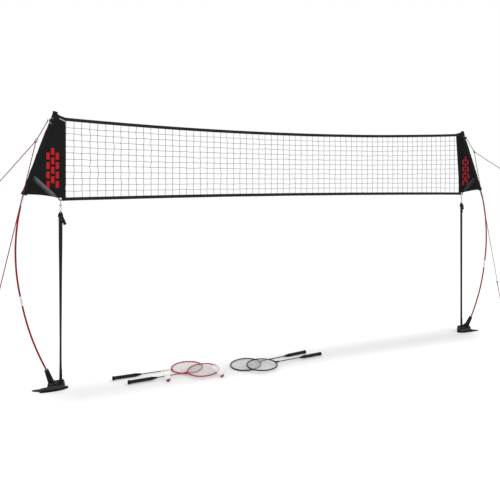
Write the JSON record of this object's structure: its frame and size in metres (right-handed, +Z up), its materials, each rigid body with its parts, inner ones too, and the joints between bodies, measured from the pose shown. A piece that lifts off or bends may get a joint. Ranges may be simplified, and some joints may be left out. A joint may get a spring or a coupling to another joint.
{
  "type": "badminton set",
  "caption": "Portable badminton set: tape-edged mesh net on bowed sectional poles in moulded feet, with tension straps, guy lines, rackets and shuttlecocks.",
  "frame": {"origin": "on the floor, under the middle of the net stand and rackets", "axes": "+X along the net to the right, +Y behind the net, +Z up"},
  "size_m": [4.4892, 1.2663, 1.592],
  "materials": {
    "mesh_twine": "knotted twine",
    "tape_cloth": "plain weave",
    "panel_cloth": "plain weave",
    "webbing": "woven webbing",
    "guy_cord": "braided",
    "bright_metal": "nickel plated",
    "ferrule_metal": "satin",
    "pole_red": "glossy resin over glass fibre",
    "pole_grey": "glossy resin over glass fibre",
    "black_plastic": "moulded",
    "lever_plastic": "moulded",
    "base_plastic": "textured moulding",
    "screw_steel": "zinc plated",
    "hook_steel": "zinc plated",
    "racket_red": "gloss enamel",
    "racket_black": "gloss enamel",
    "racket_string": "nylon monofilament",
    "grip_wrap": "wrapped strip",
    "cork_red": "coated",
    "skirt_white": "moulded nylon"
  },
  "bodies": {
    "net_stand": {"net_mesh": "mesh_twine", "top_tape": "tape_cloth", "bottom_tape": "tape_cloth", "left_end_panel": "panel_cloth", "right_end_panel": "panel_cloth", "corner_grommets": "bright_metal", "guy_tabs": "webbing", "left_pole_upper": "pole_grey", "left_pole_middle": "pole_red", "left_pole_lower": "pole_red", "right_pole_upper": "pole_grey", "right_pole_middle": "pole_red", "right_pole_lower": "pole_red", "pole_ferrules": "ferrule_metal", "pole_tip_caps": "black_plastic", "left_base_foot": "base_plastic", "right_base_foot": "base_plastic", "left_base_housing": "base_plastic", "right_base_housing": "base_plastic", "pole_sockets": "base_plastic", "base_screws": "screw_steel", "strap_anchor_pins": "screw_steel", "left_tension_strap": "webbing", "right_tension_strap": "webbing", "buckle_frames": "black_plastic", "buckle_pins": "screw_steel", "strap_hooks": "hook_steel", "hook_loops": "guy_cord", "left_guy_bridle": "guy_cord", "right_guy_bridle": "guy_cord", "left_back_guy": "guy_cord", "left_front_guy": "guy_cord", "right_front_guy": "guy_cord", "right_back_guy": "guy_cord", "guy_junction_rings": "black_plastic", "guy_end_rings": "bright_metal"},
    "left_lever": {"left_buckle_lever": "lever_plastic"},
    "right_lever": {"right_buckle_lever": "lever_plastic"},
    "left_slider": {"left_guy_slider": "black_plastic"},
    "right_slider": {"right_guy_slider": "black_plastic"},
    "red_rear_racket": {"red_rear_frame": "racket_red", "red_rear_strings": "racket_string", "red_rear_shaft": "racket_red", "red_rear_grip": "grip_wrap"},
    "red_front_racket": {"red_front_frame": "racket_red", "red_front_strings": "racket_string", "red_front_shaft": "racket_red", "red_front_grip": "grip_wrap"},
    "black_rear_racket": {"black_rear_frame": "racket_black", "black_rear_strings": "racket_string", "black_rear_shaft": "racket_black", "black_rear_grip": "grip_wrap"},
    "black_front_racket": {"black_front_frame": "racket_black", "black_front_strings": "racket_string", "black_front_shaft": "racket_black", "black_front_grip": "grip_wrap"},
    "shuttle_one": {"shuttle_one_cork": "cork_red", "shuttle_one_skirt": "skirt_white"},
    "shuttle_two": {"shuttle_two_cork": "cork_red", "shuttle_two_skirt": "skirt_white"}
  },
  "joints": [
    {"name": "left_lever_hinge", "type": "hinge", "parent": "net_stand", "child": "left_lever", "pos_m": [-1.459, 0.0344, 0.992], "axis": [-1, 0, 0], "range_deg": [0, 55], "stiffness_Nm_per_rad": 0.15, "springref_deg": -5.73},
    {"name": "right_lever_hinge", "type": "hinge", "parent": "net_stand", "child": "right_lever", "pos_m": [1.459, 0.0344, 0.992], "axis": [-1, 0, 0], "range_deg": [0, 55], "stiffness_Nm_per_rad": 0.15, "springref_deg": -5.73},
    {"name": "left_slider_travel", "type": "slide", "parent": "net_stand", "child": "left_slider", "axis": [0.157, 0.365, 0.9177], "range_m": [-0.15, 0.5]},
    {"name": "right_slider_travel", "type": "slide", "parent": "net_stand", "child": "right_slider", "axis": [-0.5431, -0.3538, 0.7615], "range_m": [-0.15, 0.5]},
    {"name": "red_rear_lift", "type": "slide", "parent": "net_stand", "child": "red_rear_racket", "axis": [0, 0, 1], "range_m": [0, 0.25]},
    {"name": "red_front_lift", "type": "slide", "parent": "red_rear_racket", "child": "red_front_racket", "axis": [0, 0, 1], "range_m": [0, 0.25]},
    {"name": "black_rear_lift", "type": "slide", "parent": "net_stand", "child": "black_rear_racket", "axis": [0, 0, 1], "range_m": [0, 0.25]},
    {"name": "black_front_lift", "type": "slide", "parent": "black_rear_racket", "child": "black_front_racket", "axis": [0, 0, 1], "range_m": [0, 0.25]},
    {"name": "shuttle_one_lift", "type": "slide", "parent": "red_front_racket", "child": "shuttle_one", "axis": [0, 0, 1], "range_m": [0, 0.25]},
    {"name": "shuttle_two_lift", "type": "slide", "parent": "red_front_racket", "child": "shuttle_two", "axis": [0, 0, 1], "range_m": [0, 0.25]}
  ]
}
